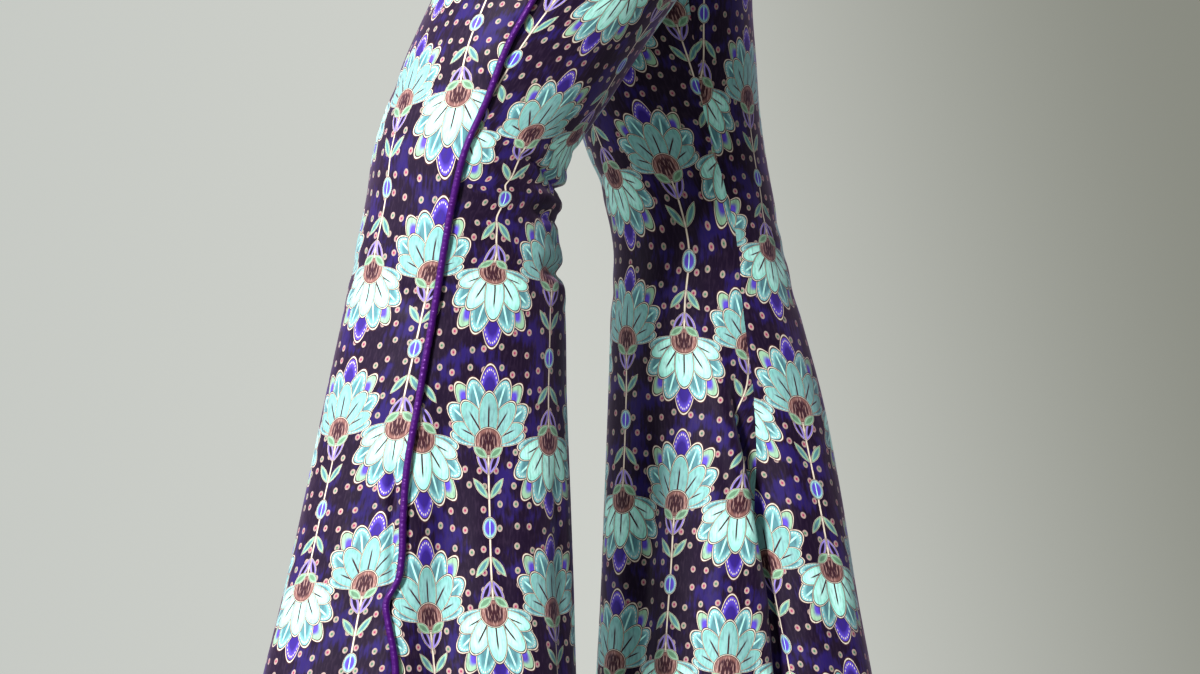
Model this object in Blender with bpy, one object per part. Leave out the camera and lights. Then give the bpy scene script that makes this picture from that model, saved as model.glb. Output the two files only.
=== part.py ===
"""Flared leggings, worn in a standing pose with the left leg a step forward.

Metres, +Z up, front towards -Y, the wearer's left at +X. The origin is the centre of the waist opening,
at the top of the waistband. Four printed panels, a waistband and a satin piping on each side seam.
"""

import math
from collections import namedtuple

import bmesh
import bpy
import numpy as np

CLOTH_WALL = 0.0014
BAND_WALL = 0.0022
SEAM_GAP = 0.0003
PIPING_RADIUS = 0.0024
PIPING_RESOLUTION = 2
SHARP_EDGE = math.radians(50)

WAIST = 0.0
BAND_HEIGHT = 0.05
CROTCH = -0.272
HEM = -1.03

# The legs swing in an upright plane that is turned this far from straight ahead, towards the right foot.
STRIDE_TURN = math.radians(20)
ALONG = np.array((math.sin(STRIDE_TURN), math.cos(STRIDE_TURN), 0.0))
ASIDE = np.array((math.cos(STRIDE_TURN), -math.sin(STRIDE_TURN), 0.0))

COLUMNS = 13
BAND_COLUMNS = 22
BAND_ROWS = 4
ABOVE_CROTCH = (0.18, 0.14, 0.105, 0.077, 0.057, 0.041, 0.028, 0.018, 0.010, 0.004, 0.0)
THIGH_ROWS = 9
THIGH_END = -0.43
KNEE_ROWS = 9
KNEE_END = -0.64
SHIN_ROWS = 17

# Above the crotch the two legs' ovals run together, and this far up they are one.
JOINED = 0.20
JOINED_POWER = 2.4
CROTCH_EASE = 0.008
OVALS_SPREAD = 0.17
CLOSE_UP = 0.6
CLOSE_UP_FROM = 0.35
SOFT_CREASE = 0.25
SOFT_CREASE_FROM = 0.30
LEGS_CLEAR = 0.0026
LEGS_CLEAR_SLOPE = 0.30

# A leg's own swing starts at these heights, on the outside and along the inseam.
OUTER_SWING = (-0.08, -0.32)
INNER_SWING = (CROTCH, -0.385)

HipRow = namedtuple("HipRow", "height side front back")
HIPS = (
    HipRow(0.00, 0.125, 0.088, 0.094),
    HipRow(-0.05, 0.131, 0.093, 0.099),
    HipRow(-0.10, 0.149, 0.100, 0.109),
    HipRow(-0.15, 0.165, 0.104, 0.119),
    HipRow(-0.20, 0.173, 0.104, 0.123),
    HipRow(-0.24, 0.174, 0.101, 0.118),
    HipRow(-0.272, 0.172, 0.097, 0.110),
    HipRow(-0.40, 0.160, 0.085, 0.090),
)

# fore and aft are the leg's outline in the stride plane, inner and outer its half depths across it,
# and seam is the side seam's place round the leg, in degrees from aft.
LegRow = namedtuple("LegRow", "height fore aft inner outer seam")
LEFT_ROWS = (
    LegRow(-0.08, -0.080, 0.125, 0.085, 0.080, 70),
    LegRow(-0.20, -0.082, 0.127, 0.084, 0.094, 76),
    LegRow(-0.272, -0.090, 0.108, 0.080, 0.092, 84),
    LegRow(-0.35, -0.110, 0.066, 0.076, 0.086, 92),
    LegRow(-0.436, -0.142, 0.017, 0.072, 0.077, 98),
    LegRow(-0.469, -0.157, -0.006, 0.069, 0.073, 98),
    LegRow(-0.502, -0.170, -0.0275, 0.065, 0.068, 95),
    LegRow(-0.534, -0.180, -0.049, 0.061, 0.063, 94),
    LegRow(-0.567, -0.185, -0.0610, 0.058, 0.059, 94),
    LegRow(-0.600, -0.192, -0.0595, 0.055, 0.056, 96.5),
    LegRow(-0.632, -0.198, -0.0565, 0.053, 0.054, 99),
    LegRow(-0.698, -0.212, -0.0550, 0.051, 0.053, 102),
    LegRow(-0.763, -0.2255, -0.0525, 0.051, 0.053, 104),
    LegRow(-0.828, -0.240, -0.0503, 0.053, 0.055, 104),
    LegRow(-0.876, -0.252, -0.0490, 0.055, 0.057, 100),
    LegRow(-1.03, -0.287, -0.0430, 0.060, 0.062, 97),
)
RIGHT_ROWS = (
    LegRow(-0.08, -0.110, 0.090, 0.085, 0.080, -110),
    LegRow(-0.20, -0.112, 0.095, 0.084, 0.094, -111),
    LegRow(-0.272, -0.105, 0.084, 0.080, 0.092, -112),
    LegRow(-0.35, -0.092, 0.074, 0.076, 0.086, -113),
    LegRow(-0.436, -0.074, 0.069, 0.070, 0.076, -114),
    LegRow(-0.470, -0.063, 0.0715, 0.067, 0.071, -114),
    LegRow(-0.500, -0.052, 0.0735, 0.063, 0.066, -113),
    LegRow(-0.531, -0.041, 0.0774, 0.059, 0.061, -115),
    LegRow(-0.565, -0.0295, 0.0835, 0.056, 0.057, -117),
    LegRow(-0.598, -0.0230, 0.0902, 0.054, 0.055, -117),
    LegRow(-0.632, -0.0245, 0.0985, 0.052, 0.053, -114),
    LegRow(-0.699, -0.0267, 0.1164, 0.051, 0.052, -113),
    LegRow(-0.766, -0.0293, 0.1292, 0.053, 0.054, -111),
    LegRow(-0.833, -0.0320, 0.1399, 0.057, 0.058, -109),
    LegRow(-0.882, -0.0347, 0.1490, 0.060, 0.061, -108),
    LegRow(-1.03, -0.0420, 0.1730, 0.066, 0.068, -108),
)

# A fold runs from an angle round the leg at its top to one at the hem. Its depth is outward, in metres,
# its width is half the fold's angle, and it deepens over the fade from its top.
Fold = namedtuple("Fold", "top angle hem_angle width depth fade")
LEFT_FOLDS = (
    Fold(-0.68, 118, 117, 11, -0.005, 0.10),
    Fold(-0.66, 84, 80, 14, -0.009, 0.16),
    Fold(-0.64, 48, 40, 15, 0.004, 0.20),
    Fold(-0.62, 222, 232, 15, -0.010, 0.18),
    Fold(-0.66, 268, 262, 13, 0.006, 0.18),
    Fold(-0.64, 318, 310, 15, -0.010, 0.18),
)
RIGHT_FOLDS = (
    Fold(-0.63, 66, 70, 12, -0.016, 0.12),
    Fold(-0.64, 92, 96, 13, 0.006, 0.16),
    Fold(-0.65, 128, 141, 13, -0.008, 0.14),
    Fold(-0.66, 30, 24, 14, 0.004, 0.18),
    Fold(-0.62, 212, 205, 15, -0.009, 0.18),
    Fold(-0.64, 262, 270, 14, 0.006, 0.18),
    Fold(-0.62, 318, 326, 15, -0.010, 0.18),
)

# Folds gain this share of their depth on the way down to the hem.
FOLD_GROWTH = 0.3

Leg = namedtuple("Leg", "name side offset rows folds")
LEFT = Leg("left", 1, 0.080, LEFT_ROWS, LEFT_FOLDS)
RIGHT = Leg("right", -1, -0.080, RIGHT_ROWS, RIGHT_FOLDS)

# Small steps for measuring slopes on the cloth, and a guard against dividing by nothing.
ANGLE_STEP = 0.005
HEIGHT_STEP = 0.0005
TINY = 1e-6

PRINT_GROUND = (0.028, 0.016, 0.085, 1.0)
PIPING_SATIN = (0.045, 0.008, 0.170, 1.0)


def smooth_step(value):
    """0 below 0, 1 above 1, and an even S curve between."""
    value = np.clip(value, 0.0, 1.0)
    return value * value * (3.0 - 2.0 * value)


def read(table, column, height):
    """A table's column at the given heights, on a smooth curve through its rows."""
    heights = np.array([row.height for row in table])[::-1]
    values = np.array([getattr(row, column) for row in table], float)[::-1]
    slopes = np.gradient(values, heights)
    height = np.clip(height, heights[0], heights[-1])
    row = np.clip(np.searchsorted(heights, height) - 1, 0, len(heights) - 2)
    span = heights[row + 1] - heights[row]
    part = (height - heights[row]) / span
    rise = values[row + 1] - values[row]
    start = slopes[row] * span
    end = slopes[row + 1] * span
    bend = (3.0 * rise - 2.0 * start - end) * part**2 + (start + end - 2.0 * rise) * part**3
    return values[row] + start * part + bend


def joined_at(height):
    """How far a leg's oval is whole, from 0 at the waist to 1 at the crotch, and the angle to its inner edge."""
    above = np.maximum(height - CROTCH, 0.0)
    eased = above**2 / (above + CROTCH_EASE)
    joined = (1.0 - np.minimum(eased / JOINED, 1.0)) ** JOINED_POWER
    return joined, np.arccos(-joined)


def angle_at(height, turn):
    """The angle round the leg for a turn of -1 to 1. Near the crotch only the inner columns close up."""
    missing = math.pi - joined_at(height)[1]
    power = 1.0 + CLOSE_UP * (math.pi / np.maximum(missing, CLOSE_UP_FROM) - 1.0)
    size = np.abs(turn)
    return np.sign(turn) * (math.pi * size - missing * size**power)


def hip_points(leg, height, angle):
    """The body's half, an oval cut off at the centre seam, or a whole oval below the crotch.

    Also how far out each point is, from 0 at the centre seam to 1 at the side seam.
    """
    above = height - CROTCH
    joined, reach = joined_at(height)
    share = np.abs(angle) / reach
    soft = SOFT_CREASE * np.clip((1.0 - joined) / SOFT_CREASE_FROM, 0.0, 1.0) + TINY
    late = np.clip((share - 1.0 + soft) / soft, 0.0, 1.0)
    eased = np.sign(angle) * (np.minimum(share, 1.0 - soft) + soft * (late + late**2 - late**3))
    side = read(HIPS, "side", height)
    middle = side / 2.0 * (1.0 - smooth_step(above / OVALS_SPREAD))
    cos = np.cos(angle)
    width = np.where(cos > 0.0, side - middle, middle / np.maximum(joined, TINY))
    clear = np.clip(-above * LEGS_CLEAR_SLOPE, 0.0, LEGS_CLEAR) * ((1.0 - cos) / 2.0) ** 2
    depth = np.where(angle < 0.0, read(HIPS, "front", height), read(HIPS, "back", height))
    x = middle + width * cos + clear
    y = depth * np.sin(eased * reach)
    return np.stack((leg.side * x, y, height), axis=-1), smooth_step((x - clear) / side)


def fold_push(leg, height, around):
    """How far the folds push the cloth outward at an angle round the leg."""
    push = np.zeros_like(height)
    for fold in leg.folds:
        down = np.clip((fold.top - height) / (fold.top - HEM), 0.0, 1.0)
        centre = fold.angle + (fold.hem_angle - fold.angle) * down
        away = (around - centre + 180.0) % 360.0 - 180.0
        grown = smooth_step((fold.top - height) / fold.fade) * (1.0 - FOLD_GROWTH * (1.0 - down))
        push = push + fold.depth * grown * np.exp(-((away / fold.width) ** 2))
    return push


def leg_points(leg, height, angle):
    """The leg's own oval in the stride plane's frame, with its folds."""
    around = read(leg.rows, "seam", height) - leg.side * np.degrees(angle)
    fore = read(leg.rows, "fore", height)
    aft = read(leg.rows, "aft", height)
    cos = np.cos(np.radians(around))
    sin = np.sin(np.radians(around))
    outward = sin * leg.side > 0.0
    depth = np.where(outward, read(leg.rows, "outer", height), read(leg.rows, "inner", height))
    push = fold_push(leg, height, around)
    along = (fore + aft) / 2.0 + ((aft - fore) / 2.0 + push) * cos
    across = leg.offset + (depth + push) * sin
    points = along[..., None] * ALONG + across[..., None] * ASIDE
    points[..., 2] = height
    return points


def cloth(leg, height, angle):
    """Points of the cloth. The angle is 0 at the side seam, negative in front and positive behind."""
    hip, outerness = hip_points(leg, height, angle)
    own = leg_points(leg, height, angle)
    outer = smooth_step((OUTER_SWING[0] - height) / (OUTER_SWING[0] - OUTER_SWING[1]))
    inner = smooth_step((INNER_SWING[0] - height) / (INNER_SWING[0] - INNER_SWING[1]))
    share = (inner + (outer - inner) * outerness)[..., None]
    return hip * (1.0 - share) + own * share


def unit(vectors):
    return vectors / np.linalg.norm(vectors, axis=-1, keepdims=True)


def frame_at(leg, height, angle):
    """Points of the cloth with the outward normal and the direction of rising angle at each."""
    reach = joined_at(height)[1]
    low = np.maximum(angle - ANGLE_STEP, -reach)
    high = np.minimum(angle + ANGLE_STEP, reach)
    across = unit(cloth(leg, height, high) - cloth(leg, height, low))
    ends = []
    for beside in (height + HEIGHT_STEP, height - HEIGHT_STEP):
        reach = joined_at(beside)[1]
        ends.append(cloth(leg, beside, np.clip(angle, -reach, reach)))
    upward = unit(ends[0] - ends[1])
    normal = unit(np.cross(across, upward)) * leg.side
    return cloth(leg, height, angle), normal, across


def panel_heights():
    top = -BAND_HEIGHT - SEAM_GAP
    body = [top] + [CROTCH + above for above in ABOVE_CROTCH]
    thigh = np.linspace(CROTCH, THIGH_END, THIGH_ROWS)[1:]
    knee = np.linspace(THIGH_END, KNEE_END, KNEE_ROWS)[1:]
    shin = np.linspace(KNEE_END, HEM, SHIN_ROWS)[1:]
    return np.concatenate((body, thigh, knee, shin))


def keep_off_centre(points, leg):
    """At and above the crotch no wall crosses the centre seam's plane."""
    x = points[..., 0] * leg.side
    near = points[..., 2] > CROTCH - LEGS_CLEAR / LEGS_CLEAR_SLOPE - CLOTH_WALL
    x = np.where(near, np.maximum(x, SEAM_GAP / 2.0), x)
    points[..., 0] = x * leg.side
    return points


def wall_object(name, outer, inner, closed_round, material, collection):
    """A closed wall between two grids of points, with a rim on each free edge."""
    rows, columns = outer.shape[:2]
    mesh = bpy.data.meshes.new(name)
    build = bmesh.new()
    skins = [[[build.verts.new(point) for point in row] for row in grid] for grid in (outer, inner)]

    def two_triangles(a, b, c, d):
        build.faces.new((a, b, c))
        build.faces.new((a, c, d))

    last = columns if closed_round else columns - 1
    for skin in skins:
        for row in range(rows - 1):
            for column in range(last):
                beside = (column + 1) % columns
                corners = (skin[row][column], skin[row][beside])
                two_triangles(*corners, skin[row + 1][beside], skin[row + 1][column])
    out, back = skins
    for row in (0, rows - 1):
        for column in range(last):
            beside = (column + 1) % columns
            two_triangles(out[row][column], out[row][beside], back[row][beside], back[row][column])
    if not closed_round:
        for column in (0, columns - 1):
            for row in range(rows - 1):
                below = row + 1
                two_triangles(out[row][column], out[below][column], back[below][column], back[row][column])
    bmesh.ops.recalc_face_normals(build, faces=build.faces[:])
    build.to_mesh(mesh)
    build.free()
    mesh.shade_smooth()
    mesh.set_sharp_from_angle(angle=SHARP_EDGE)
    mesh.materials.append(material)
    shape = bpy.data.objects.new(name, mesh)
    collection.objects.link(shape)
    return shape


def make_panel(name, leg, first, last, material, collection):
    """A panel between two turns, with half a seam's gap at each side edge."""
    height, turn = np.meshgrid(panel_heights(), np.linspace(first, last, COLUMNS), indexing="ij")
    points, normals, across = frame_at(leg, height, angle_at(height, turn))
    points[:, 0] += across[:, 0] * SEAM_GAP / 2.0
    points[:, -1] -= across[:, -1] * SEAM_GAP / 2.0
    half = normals * CLOTH_WALL / 2.0
    outer = keep_off_centre(points + half, leg)
    inner = keep_off_centre(points - half, leg)
    return wall_object(name, outer, inner, False, material, collection)


def make_waistband(material, collection):
    """One band all round, double cloth, just above the panels."""
    heights = np.linspace(WAIST, -BAND_HEIGHT, BAND_ROWS)
    turns = np.linspace(-1.0, 1.0, BAND_COLUMNS)
    halves = []
    for leg, order in ((LEFT, turns), (RIGHT, turns[::-1])):
        height, turn = np.meshgrid(heights, order[:-1], indexing="ij")
        points, normals, _ = frame_at(leg, height, angle_at(height, turn))
        halves.append((points, normals))
    points = np.concatenate([half[0] for half in halves], axis=1)
    normals = np.concatenate([half[1] for half in halves], axis=1)
    half = normals * BAND_WALL / 2.0
    return wall_object("waistband", points + half, points - half, True, material, collection)


def make_piping(leg, material, collection):
    """A round cord laid on the side seam, from the waistband to the hem."""
    top = -BAND_HEIGHT - SEAM_GAP - BAND_WALL
    heights = np.concatenate(([top], panel_heights()[1:-1], [HEM + SEAM_GAP]))
    points, normals, _ = frame_at(leg, heights, np.zeros_like(heights))
    route = points + normals * (CLOTH_WALL / 2.0 + SEAM_GAP + PIPING_RADIUS)
    curve = bpy.data.curves.new(leg.name + "_piping", "CURVE")
    curve.dimensions = "3D"
    curve.bevel_depth = PIPING_RADIUS
    curve.bevel_resolution = PIPING_RESOLUTION
    curve.use_fill_caps = True
    spline = curve.splines.new("POLY")
    spline.points.add(len(route) - 1)
    for point, place in zip(spline.points, route):
        point.co = (*place, 1.0)
    curve.materials.append(material)
    cord = bpy.data.objects.new(leg.name + "_piping", curve)
    collection.objects.link(cord)
    return cord


def make_material(name, colour, roughness):
    material = bpy.data.materials.new(name)
    material.use_nodes = True
    shader = material.node_tree.nodes["Principled BSDF"]
    shader.inputs["Base Color"].default_value = colour
    shader.inputs["Roughness"].default_value = roughness
    shader.inputs["Metallic"].default_value = 0.0
    material.diffuse_color = colour
    return material


def clear_scene():
    for shape in list(bpy.data.objects):
        bpy.data.objects.remove(shape, do_unlink=True)


def build_leggings():
    clear_scene()
    collection = bpy.data.collections.new("flared_leggings")
    bpy.context.scene.collection.children.link(collection)
    for leg in (LEFT, RIGHT):
        for side, first, last in (("front", -1.0, 0.0), ("back", 0.0, 1.0)):
            name = leg.name + "_" + side
            make_panel(name, leg, first, last, make_material(name + "_print", PRINT_GROUND, 0.5), collection)
        make_piping(leg, make_material(leg.name + "_piping_satin", PIPING_SATIN, 0.35), collection)
    make_waistband(make_material("waistband_print", PRINT_GROUND, 0.5), collection)


build_leggings()
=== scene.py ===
# %% [markdown]
# # Flared leggings in a printed stretch jersey
#
# The leggings are shown as they are worn, with the left leg a step forward and nobody inside them.
# Four printed panels, a waistband and a satin piping on each side seam make the garment.
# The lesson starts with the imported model, which gives every piece its place, and then dresses it:
# the cloth becomes thin curved sheets with soft creases, and a printed finish follows each sheet.

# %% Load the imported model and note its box
import math
from collections import namedtuple

import bpy
import numpy as np
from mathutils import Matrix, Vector


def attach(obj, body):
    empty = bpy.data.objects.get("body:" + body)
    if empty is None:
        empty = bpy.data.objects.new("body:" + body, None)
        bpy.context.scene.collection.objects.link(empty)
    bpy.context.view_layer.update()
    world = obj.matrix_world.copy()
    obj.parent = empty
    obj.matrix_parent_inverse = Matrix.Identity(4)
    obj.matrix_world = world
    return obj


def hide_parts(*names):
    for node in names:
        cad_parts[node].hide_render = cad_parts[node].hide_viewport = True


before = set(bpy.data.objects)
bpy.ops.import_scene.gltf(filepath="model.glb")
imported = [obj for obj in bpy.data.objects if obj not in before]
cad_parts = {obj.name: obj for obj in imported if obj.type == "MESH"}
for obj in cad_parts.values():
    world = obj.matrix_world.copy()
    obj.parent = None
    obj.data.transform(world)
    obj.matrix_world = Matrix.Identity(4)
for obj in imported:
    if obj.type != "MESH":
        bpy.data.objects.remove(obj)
bpy.ops.object.select_all(action="DESELECT")
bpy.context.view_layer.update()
print("Nodes:", ", ".join(sorted(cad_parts)))

# %% [markdown]
# ## The picture's frame
#
# The camera comes first, because every fold is judged through it. A long lens from almost six metres away
# keeps the two legs nearly the same scale. It looks level, from the left side and a little in front.
# The aim point is worked out in the plane that the legs stride in, which is the plane of the picture.

# %% Camera
STRIDE_TURN = math.radians(20)
ALONG = np.array((math.sin(STRIDE_TURN), math.cos(STRIDE_TURN), 0.0))
ASIDE = np.array((math.cos(STRIDE_TURN), -math.sin(STRIDE_TURN), 0.0))
IMAGE_WIDTH = 1200
AIM_ALONG = -0.0327
AIM_HEIGHT = -0.6565
CAMERA_DISTANCE = 5.90
LEFT_LEG_ASIDE = 0.080
LEFT_LEG_PIXELS_PER_METRE = 1530
SENSOR_WIDTH = 36.0

field_width = IMAGE_WIDTH / LEFT_LEG_PIXELS_PER_METRE
lens = SENSOR_WIDTH * (CAMERA_DISTANCE - LEFT_LEG_ASIDE) / field_width
aim = ALONG * AIM_ALONG + np.array((0.0, 0.0, AIM_HEIGHT))
bpy.ops.object.camera_add(location=aim + ASIDE * CAMERA_DISTANCE)
camera = bpy.context.object
camera.name = "camera"
camera.rotation_euler = (math.radians(90), 0.0, math.radians(90) - STRIDE_TURN)
camera.data.lens = lens
camera.data.sensor_width = SENSOR_WIDTH
bpy.context.scene.camera = camera
print("Lens:", round(lens), "mm for a field", round(field_width, 3), "m wide")

# %% [markdown]
# ## The garment's sizes
#
# A pattern cutter works from a table of measures, and so does this garment. One table gives the body at
# each height. One for each leg gives its outline fore and aft in the stride, its half depth towards the
# other leg and away from it, and where the side seam lies, in degrees round the leg from its aft edge.
# The values repeat those of the solids, so that the sheets lie on them.

# %% Tables of measures
BAND_HEIGHT = 0.05
CROTCH = -0.272
HEM = -1.03
SEAM_GAP = 0.0003

HipRow = namedtuple("HipRow", "height side front back")
HIPS = (
    HipRow(0.00, 0.125, 0.088, 0.094),
    HipRow(-0.05, 0.131, 0.093, 0.099),
    HipRow(-0.10, 0.149, 0.100, 0.109),
    HipRow(-0.15, 0.165, 0.104, 0.119),
    HipRow(-0.20, 0.173, 0.104, 0.123),
    HipRow(-0.24, 0.174, 0.101, 0.118),
    HipRow(-0.272, 0.172, 0.097, 0.110),
    HipRow(-0.40, 0.160, 0.085, 0.090),
)

LegRow = namedtuple("LegRow", "height fore aft inner outer seam")
LEFT_ROWS = (
    LegRow(-0.08, -0.080, 0.125, 0.085, 0.080, 70),
    LegRow(-0.20, -0.082, 0.127, 0.084, 0.094, 76),
    LegRow(-0.272, -0.090, 0.108, 0.080, 0.092, 84),
    LegRow(-0.35, -0.110, 0.066, 0.076, 0.086, 92),
    LegRow(-0.436, -0.142, 0.017, 0.072, 0.077, 98),
    LegRow(-0.469, -0.157, -0.006, 0.069, 0.073, 98),
    LegRow(-0.502, -0.170, -0.0275, 0.065, 0.068, 95),
    LegRow(-0.534, -0.180, -0.049, 0.061, 0.063, 94),
    LegRow(-0.567, -0.185, -0.0610, 0.058, 0.059, 94),
    LegRow(-0.600, -0.192, -0.0595, 0.055, 0.056, 96.5),
    LegRow(-0.632, -0.198, -0.0565, 0.053, 0.054, 99),
    LegRow(-0.698, -0.212, -0.0550, 0.051, 0.053, 102),
    LegRow(-0.763, -0.2255, -0.0525, 0.051, 0.053, 104),
    LegRow(-0.828, -0.240, -0.0503, 0.053, 0.055, 104),
    LegRow(-0.876, -0.252, -0.0490, 0.055, 0.057, 100),
    LegRow(-1.03, -0.287, -0.0430, 0.060, 0.062, 97),
)
RIGHT_ROWS = (
    LegRow(-0.08, -0.110, 0.090, 0.085, 0.080, -110),
    LegRow(-0.20, -0.112, 0.095, 0.084, 0.094, -111),
    LegRow(-0.272, -0.105, 0.084, 0.080, 0.092, -112),
    LegRow(-0.35, -0.092, 0.074, 0.076, 0.086, -113),
    LegRow(-0.436, -0.074, 0.069, 0.070, 0.076, -114),
    LegRow(-0.470, -0.063, 0.0715, 0.067, 0.071, -114),
    LegRow(-0.500, -0.052, 0.0735, 0.063, 0.066, -113),
    LegRow(-0.531, -0.041, 0.0774, 0.059, 0.061, -115),
    LegRow(-0.565, -0.0295, 0.0835, 0.056, 0.057, -117),
    LegRow(-0.598, -0.0230, 0.0902, 0.054, 0.055, -117),
    LegRow(-0.632, -0.0245, 0.0985, 0.052, 0.053, -114),
    LegRow(-0.699, -0.0267, 0.1164, 0.051, 0.052, -113),
    LegRow(-0.766, -0.0293, 0.1292, 0.053, 0.054, -111),
    LegRow(-0.833, -0.0320, 0.1399, 0.057, 0.058, -109),
    LegRow(-0.882, -0.0347, 0.1490, 0.060, 0.061, -108),
    LegRow(-1.03, -0.0420, 0.1730, 0.066, 0.068, -108),
)
print("Rows:", len(HIPS), "for the body,", len(LEFT_ROWS), "for each leg")

# %% [markdown]
# ## The large folds
#
# From the knee down the cloth hangs in long folds. Each runs from an angle round the leg at its top to
# another at the hem, a trough where its depth is below zero and a ridge where it is above. The creases,
# which are finer, come later.

# %% Tables of folds
Fold = namedtuple("Fold", "top angle hem_angle width depth fade")
LEFT_FOLDS = (
    Fold(-0.68, 118, 117, 11, -0.005, 0.10),
    Fold(-0.66, 84, 80, 14, -0.009, 0.16),
    Fold(-0.64, 48, 40, 15, 0.004, 0.20),
    Fold(-0.62, 222, 232, 15, -0.010, 0.18),
    Fold(-0.66, 268, 262, 13, 0.006, 0.18),
    Fold(-0.64, 318, 310, 15, -0.010, 0.18),
)
RIGHT_FOLDS = (
    Fold(-0.63, 66, 70, 12, -0.016, 0.12),
    Fold(-0.64, 92, 96, 13, 0.006, 0.16),
    Fold(-0.65, 128, 141, 13, -0.008, 0.14),
    Fold(-0.66, 30, 24, 14, 0.004, 0.18),
    Fold(-0.62, 212, 205, 15, -0.009, 0.18),
    Fold(-0.64, 262, 270, 14, 0.006, 0.18),
    Fold(-0.62, 318, 326, 15, -0.010, 0.18),
)
FOLD_GROWTH = 0.3

Leg = namedtuple("Leg", "name side offset rows folds")
LEFT = Leg("left", 1, LEFT_LEG_ASIDE, LEFT_ROWS, LEFT_FOLDS)
RIGHT = Leg("right", -1, -LEFT_LEG_ASIDE, RIGHT_ROWS, RIGHT_FOLDS)
print("Folds:", len(LEFT_FOLDS), "on the left leg,", len(RIGHT_FOLDS), "on the right")

# %% [markdown]
# ## From measures to a surface
#
# A few functions turn the tables into points of cloth. Above the crotch, each half of the body is an oval
# cut off at the centre seam. Below it, each leg is a whole oval that swings in the stride. Between the two,
# the points move over smoothly, which is how cloth goes from the hips into a stepping thigh.

# %% Reading a table on a smooth curve


def smooth_step(value):
    """0 below 0, 1 above 1, and an even S curve between."""
    value = np.clip(value, 0.0, 1.0)
    return value * value * (3.0 - 2.0 * value)


def read(table, column, height):
    """A table's column at the given heights, on a smooth curve through its rows."""
    heights = np.array([row.height for row in table])[::-1]
    values = np.array([getattr(row, column) for row in table], float)[::-1]
    slopes = np.gradient(values, heights)
    height = np.clip(height, heights[0], heights[-1])
    row = np.clip(np.searchsorted(heights, height) - 1, 0, len(heights) - 2)
    span = heights[row + 1] - heights[row]
    part = (height - heights[row]) / span
    rise = values[row + 1] - values[row]
    start = slopes[row] * span
    end = slopes[row + 1] * span
    bend = (3.0 * rise - 2.0 * start - end) * part**2 + (start + end - 2.0 * rise) * part**3
    return values[row] + start * part + bend


print("Left leg's aft edge at the knee:", round(float(read(LEFT_ROWS, "aft", np.array(-0.567))), 4))

# %% [markdown]
# ## One half of the body
#
# Trousers are two halves, sewn together from the front waist through the crotch to the back waist. Each half
# could be a body of its own that is cut at the middle, but a cut leaves ragged edges. Here it is an oval that
# stops at the middle plane. Further down more of the oval is there, and at the crotch it is whole: a leg.

# %% The body's half
JOINED = 0.20
JOINED_POWER = 2.4
CROTCH_EASE = 0.008
OVALS_SPREAD = 0.17
CLOSE_UP = 0.6
CLOSE_UP_FROM = 0.35
SOFT_CREASE = 0.25
SOFT_CREASE_FROM = 0.30
LEGS_CLEAR = 0.0026
LEGS_CLEAR_SLOPE = 0.30
TINY = 1e-6


def joined_at(height):
    """How whole a leg's oval is, from 0 at the waist to 1 at the crotch, and the angle to its end."""
    above = np.maximum(height - CROTCH, 0.0)
    eased = above**2 / (above + CROTCH_EASE)
    joined = (1.0 - np.minimum(eased / JOINED, 1.0)) ** JOINED_POWER
    return joined, np.arccos(-joined)


def angle_at(height, turn):
    """The angle round the leg for a turn of -1 to 1. Near the crotch only the inner columns close up."""
    missing = math.pi - joined_at(height)[1]
    power = 1.0 + CLOSE_UP * (math.pi / np.maximum(missing, CLOSE_UP_FROM) - 1.0)
    size = np.abs(turn)
    return np.sign(turn) * (math.pi * size - missing * size**power)


def hip_points(leg, height, angle):
    """The body's half, and how far out each point is, from 0 at the centre seam to 1 at the side seam."""
    above = height - CROTCH
    joined, reach = joined_at(height)
    share = np.abs(angle) / reach
    soft = SOFT_CREASE * np.clip((1.0 - joined) / SOFT_CREASE_FROM, 0.0, 1.0) + TINY
    late = np.clip((share - 1.0 + soft) / soft, 0.0, 1.0)
    eased = np.sign(angle) * (np.minimum(share, 1.0 - soft) + soft * (late + late**2 - late**3))
    side = read(HIPS, "side", height)
    middle = side / 2.0 * (1.0 - smooth_step(above / OVALS_SPREAD))
    cos = np.cos(angle)
    width = np.where(cos > 0.0, side - middle, middle / np.maximum(joined, TINY))
    clear = np.clip(-above * LEGS_CLEAR_SLOPE, 0.0, LEGS_CLEAR) * ((1.0 - cos) / 2.0) ** 2
    depth = np.where(angle < 0.0, read(HIPS, "front", height), read(HIPS, "back", height))
    x = middle + width * cos + clear
    y = depth * np.sin(eased * reach)
    return np.stack((leg.side * x, y, height), axis=-1), smooth_step((x - clear) / side)


print("The left and right halves meet for", round(JOINED * 100), "cm above the crotch")

# %% [markdown]
# ## The leg and its step
#
# A leg's oval is measured in the plane of the stride, so its fore and aft edges are those that the picture
# shows. The folds push it in and out. The cloth takes its points from the body at the top and from the leg at
# the bottom. Between them it changes over, and it starts higher at the side seam than at the crotch.

# %% The leg's oval and the whole cloth
OUTER_SWING = (-0.08, -0.32)
INNER_SWING = (CROTCH, -0.385)
ANGLE_STEP = 0.005
HEIGHT_STEP = 0.0005


def fold_push(leg, height, around):
    """How far the large folds push the cloth outward."""
    push = np.zeros_like(height)
    for fold in leg.folds:
        down = np.clip((fold.top - height) / (fold.top - HEM), 0.0, 1.0)
        centre = fold.angle + (fold.hem_angle - fold.angle) * down
        away = (around - centre + 180.0) % 360.0 - 180.0
        grown = smooth_step((fold.top - height) / fold.fade) * (1.0 - FOLD_GROWTH * (1.0 - down))
        push = push + fold.depth * grown * np.exp(-((away / fold.width) ** 2))
    return push


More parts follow.
